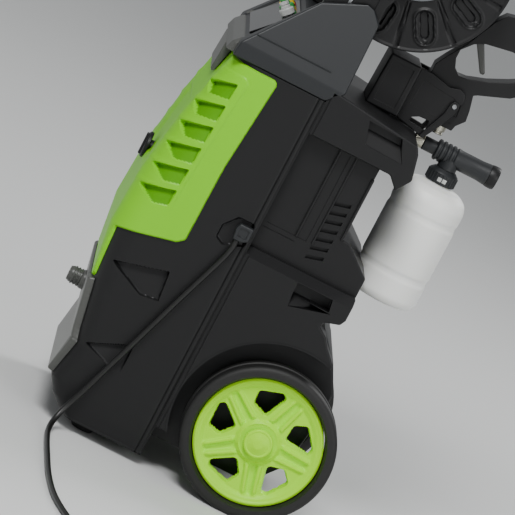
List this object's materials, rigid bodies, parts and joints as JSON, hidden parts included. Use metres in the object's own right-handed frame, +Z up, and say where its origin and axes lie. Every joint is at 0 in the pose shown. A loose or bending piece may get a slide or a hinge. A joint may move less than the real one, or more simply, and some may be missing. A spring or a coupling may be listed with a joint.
{
  "type": "pressure washer",
  "caption": "Upright electric pressure washer on two wheels, with a hose reel, pull-up handle, stowed spray gun and foam cannon, and mains lead.",
  "frame": {"origin": "on the ground under the middle of the machine without its lead", "axes": "+X is the machine's right side, +Y its back, where the gun and the foam cannon hang, and +Z up"},
  "size_m": [0.8864, 0.4339, 0.9137],
  "materials": {
    "black_plastic": "fine-grained matt black moulding",
    "green_plastic": "satin leaf-green moulding",
    "lime_plastic": "satin lime moulding",
    "charcoal_trim": "satin charcoal moulding",
    "grey_plastic": "satin dark grey moulding",
    "gloss_panel": "polished black",
    "sheet_steel": "plain zinc-plated sheet",
    "zinc_steel": "drawn, zinc plated",
    "motor_paint": "grey motor can",
    "cast_aluminium": "die cast, as cast",
    "nickel_brass": "nickel-plated brass",
    "rubber": "matt black rubber",
    "tyre_rubber": "ribbed tread, matt",
    "white_plastic": "blow-moulded translucent white",
    "nozzle_red": "satin",
    "nozzle_yellow": "satin",
    "nozzle_green": "satin",
    "nozzle_grey": "satin",
    "lead_pvc": "flexible black PVC"
  },
  "bodies": {
    "case": {"front_shell": "black_plastic", "front_cover": "green_plastic", "front_bumper": "charcoal_trim", "rear_shell": "black_plastic", "top_cover": "grey_plastic", "console_panel": "gloss_panel", "upright_right": "black_plastic", "upright_left": "black_plastic", "base_tray": "sheet_steel", "foot_right": "rubber", "foot_left": "rubber", "wheel_axle": "zinc_steel", "motor_housing": "motor_paint", "pump_block": "cast_aluminium", "piston_1": "zinc_steel", "piston_2": "zinc_steel", "piston_3": "zinc_steel", "capacitor": "grey_plastic", "pressure_switch": "black_plastic", "water_inlet": "grey_plastic", "inlet_pipe": "rubber", "outlet_pipe": "rubber", "switch_body": "black_plastic", "gun_holder": "black_plastic", "cord_gland": "black_plastic", "mains_lead": "lead_pvc", "lead_coil": "lead_pvc", "mains_plug": "lead_pvc"},
    "wheel_right": {"rim_right": "lime_plastic", "tyre_right": "tyre_rubber", "hub_cap_right": "lime_plastic"},
    "wheel_left": {"rim_left": "lime_plastic", "tyre_left": "tyre_rubber", "hub_cap_left": "lime_plastic"},
    "rotor": {"motor_rotor": "zinc_steel", "cooling_fan": "black_plastic", "swash_plate": "zinc_steel"},
    "handle": {"handle_tube": "zinc_steel", "handle_grip": "rubber"},
    "button_right": {"lock_button_right": "charcoal_trim"},
    "button_left": {"lock_button_left": "charcoal_trim"},
    "reel": {"reel_drum": "black_plastic", "reel_flange_right": "black_plastic", "reel_flange_left": "black_plastic", "hose_coil": "rubber", "crank_arm": "black_plastic"},
    "knob": {"crank_knob": "black_plastic"},
    "switch": {"switch_knob": "black_plastic"},
    "gun": {"gun_body": "black_plastic", "gun_coupler": "nickel_brass"},
    "trigger": {"gun_trigger": "green_plastic"},
    "cannon": {"foam_cap": "grey_plastic", "foam_body": "grey_plastic", "foam_plug": "nickel_brass"},
    "bottle": {"foam_bottle": "white_plastic"},
    "cannon_nozzle": {"foam_nozzle": "black_plastic"},
    "spray_1": {"spray_nozzle_1": "nozzle_red"},
    "spray_2": {"spray_nozzle_2": "nozzle_yellow"},
    "spray_3": {"spray_nozzle_3": "nozzle_green"},
    "spray_4": {"spray_nozzle_4": "nozzle_grey"}
  },
  "joints": [
    {"name": "wheel_right_roll", "type": "hinge", "parent": "case", "child": "wheel_right", "pos_m": [0, 0.088, 0.1], "axis": [1, 0, 0], "continuous": true},
    {"name": "wheel_left_roll", "type": "hinge", "parent": "case", "child": "wheel_left", "pos_m": [0, 0.088, 0.1], "axis": [1, 0, 0], "continuous": true},
    {"name": "motor_spin", "type": "hinge", "parent": "case", "child": "rotor", "pos_m": [0, -0.062, 0.3], "axis": [0, 0, 1], "continuous": true},
    {"name": "handle_pull_up", "type": "slide", "parent": "case", "child": "handle", "axis": [0, 0, 1], "range_m": [0, 0.18]},
    {"name": "lock_right_press", "type": "slide", "parent": "case", "child": "button_right", "axis": [-1, 0, 0], "range_m": [0, 0.003], "stiffness_N_per_m": 600},
    {"name": "lock_left_press", "type": "slide", "parent": "case", "child": "button_left", "axis": [1, 0, 0], "range_m": [0, 0.003], "stiffness_N_per_m": 600},
    {"name": "reel_wind", "type": "hinge", "parent": "case", "child": "reel", "pos_m": [0, -0.008, 0.736], "axis": [1, 0, 0], "continuous": true},
    {"name": "crank_knob_spin", "type": "hinge", "parent": "reel", "child": "knob", "pos_m": [-0.13, -0.008, 0.821], "axis": [1, 0, 0], "continuous": true},
    {"name": "switch_turn", "type": "hinge", "parent": "case", "child": "switch", "pos_m": [0, -0.2, 0.352], "axis": [0, 1, 0], "range_deg": [0, 90]},
    {"name": "gun_lift_off", "type": "slide", "parent": "case", "child": "gun", "axis": [0, 0.8, 0.6], "range_m": [0, 0.12]},
    {"name": "trigger_squeeze", "type": "hinge", "parent": "gun", "child": "trigger", "pos_m": [0, 0.112, 0.669], "axis": [1, 0, 0], "range_deg": [0, 20], "stiffness_Nm_per_rad": 1.2},
    {"name": "cannon_lift_off", "type": "slide", "parent": "case", "child": "cannon", "axis": [0, 1, 0], "range_m": [0, 0.1]},
    {"name": "bottle_unscrew", "type": "hinge", "parent": "cannon", "child": "bottle", "pos_m": [0, 0.153, 0.4], "axis": [0, 0, 1], "range_deg": [0, 360]},
    {"name": "cannon_nozzle_turn", "type": "hinge", "parent": "cannon", "child": "cannon_nozzle", "pos_m": [0, 0.21, 0.517], "axis": [0, 1, 0], "range_deg": [0, 90]},
    {"name": "spray_nozzle_1_pull_out", "type": "slide", "parent": "case", "child": "spray_1", "axis": [0, -0.7194, 0.6946], "range_m": [0, 0.04]},
    {"name": "spray_nozzle_2_pull_out", "type": "slide", "parent": "case", "child": "spray_2", "axis": [0, -0.7194, 0.6946], "range_m": [0, 0.04]},
    {"name": "spray_nozzle_3_pull_out", "type": "slide", "parent": "case", "child": "spray_3", "axis": [0, -0.7194, 0.6946], "range_m": [0, 0.04]},
    {"name": "spray_nozzle_4_pull_out", "type": "slide", "parent": "case", "child": "spray_4", "axis": [0, -0.7194, 0.6946], "range_m": [0, 0.04]}
  ]
}
